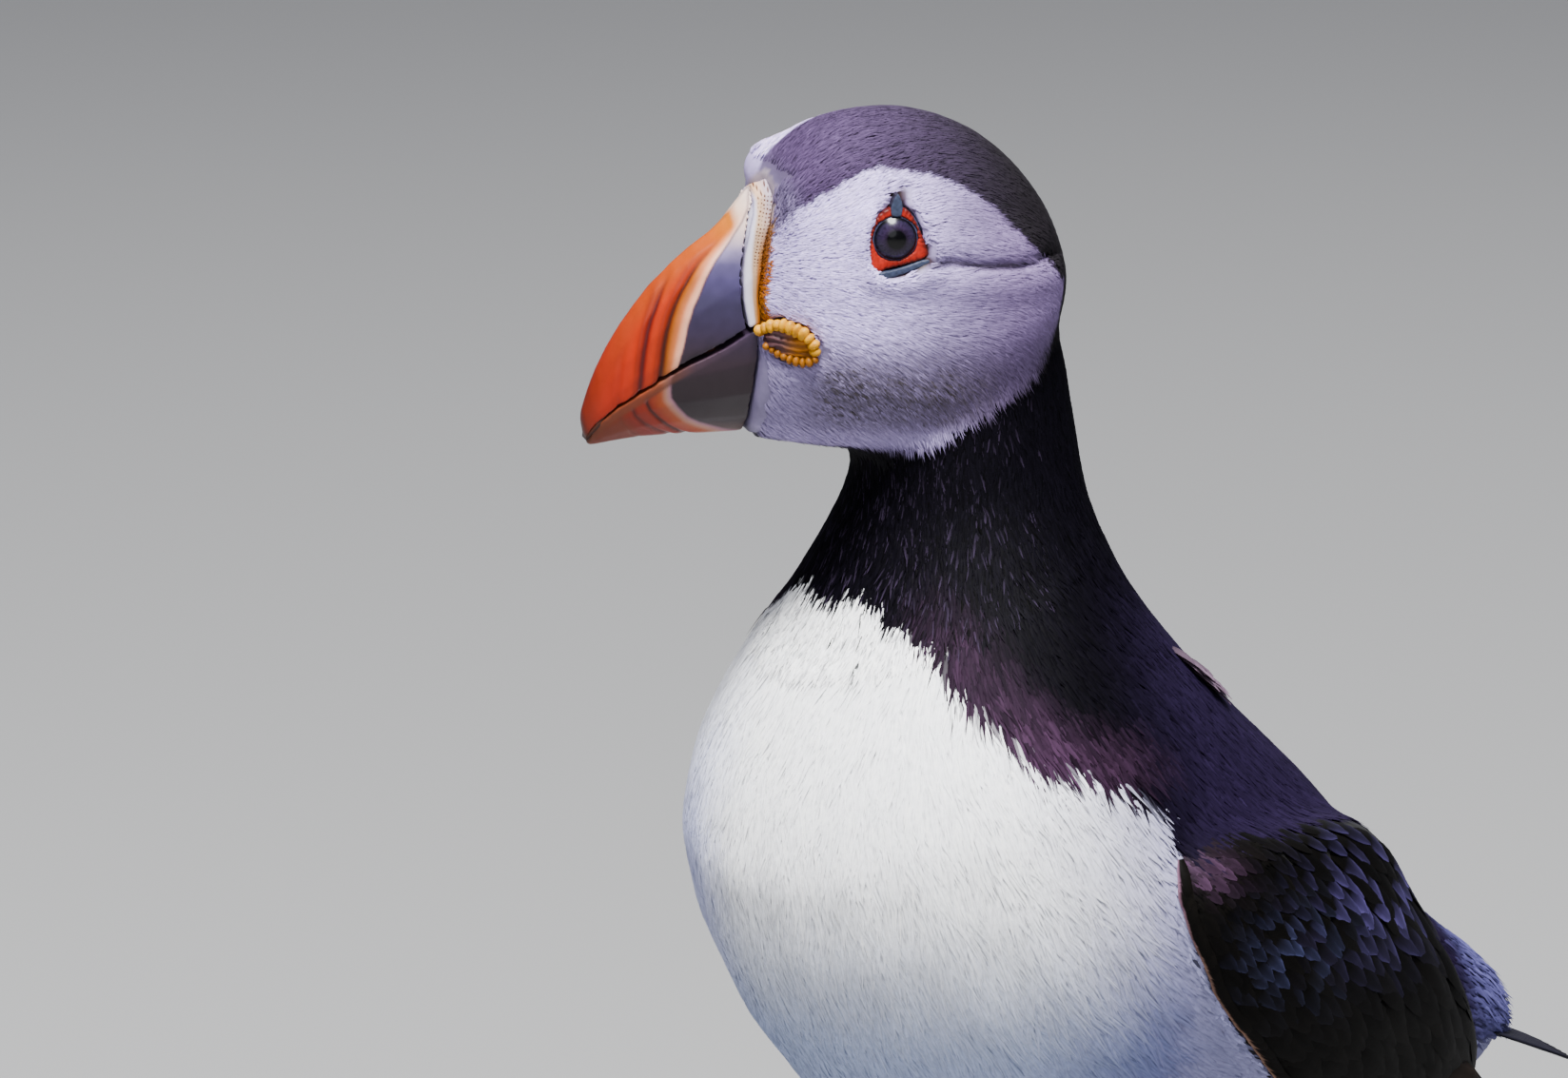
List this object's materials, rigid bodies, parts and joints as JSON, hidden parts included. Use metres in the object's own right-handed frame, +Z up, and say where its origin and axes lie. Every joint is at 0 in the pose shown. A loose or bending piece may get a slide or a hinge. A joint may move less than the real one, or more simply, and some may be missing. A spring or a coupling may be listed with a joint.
{
  "type": "atlantic puffin",
  "caption": "Life-size atlantic puffin standing upright, neck raised and head turned slightly right, with a deep ridged bill, folded wings and webbed feet.",
  "frame": {"origin": "centre of the bounding box seen from above, at the height of the soles", "axes": "+Z up; the bird faces -Y, so its left side is +X; the head is turned a little to its right, towards -X"},
  "size_m": [0.1052, 0.181, 0.2196],
  "materials": {
    "face_feather": "short pale grey face feathers with a blackish crown and nape",
    "black_feather": "black feathers with a faint blue-violet sheen",
    "white_feather": "soft white body feathers",
    "wing_feather": "brownish black wing feathers",
    "orange_horn": "polished orange-red horn with darker grooves",
    "slate_horn": "smooth slate-blue horn",
    "pale_horn": "cream horn with small pits",
    "yellow_skin": "wrinkled orange-yellow skin at the corner of the mouth",
    "red_ring": "bare red skin around the eye",
    "eye": "wet dark eye",
    "orange_foot": "scaly orange-red skin",
    "black_claw": "polished black horn"
  },
  "bodies": {
    "root": {"bill_cere": "pale_horn", "bill_lower_plate": "slate_horn", "bill_lower_tip": "orange_horn", "bill_upper_plate": "slate_horn", "bill_upper_tip": "orange_horn", "claw_left_inner": "black_claw", "claw_left_middle": "black_claw", "claw_left_outer": "black_claw", "claw_right_inner": "black_claw", "claw_right_middle": "black_claw", "claw_right_outer": "black_claw", "eye_left": "eye", "eye_plate_lower_left": "slate_horn", "eye_plate_lower_right": "slate_horn", "eye_plate_upper_left": "slate_horn", "eye_plate_upper_right": "slate_horn", "eye_right": "eye", "eye_ring_left": "red_ring", "eye_ring_right": "red_ring", "foot_left": "orange_foot", "foot_right": "orange_foot", "head": "face_feather", "neck": "black_feather", "primaries_left": "wing_feather", "primaries_right": "wing_feather", "rosette_left": "yellow_skin", "rosette_right": "yellow_skin", "rump": "white_feather", "shank_left": "orange_foot", "shank_right": "orange_foot", "tail": "black_feather", "thigh_left": "white_feather", "thigh_right": "white_feather", "torso": "white_feather", "wing_left": "wing_feather", "wing_right": "wing_feather"}
  },
  "joints": []
}
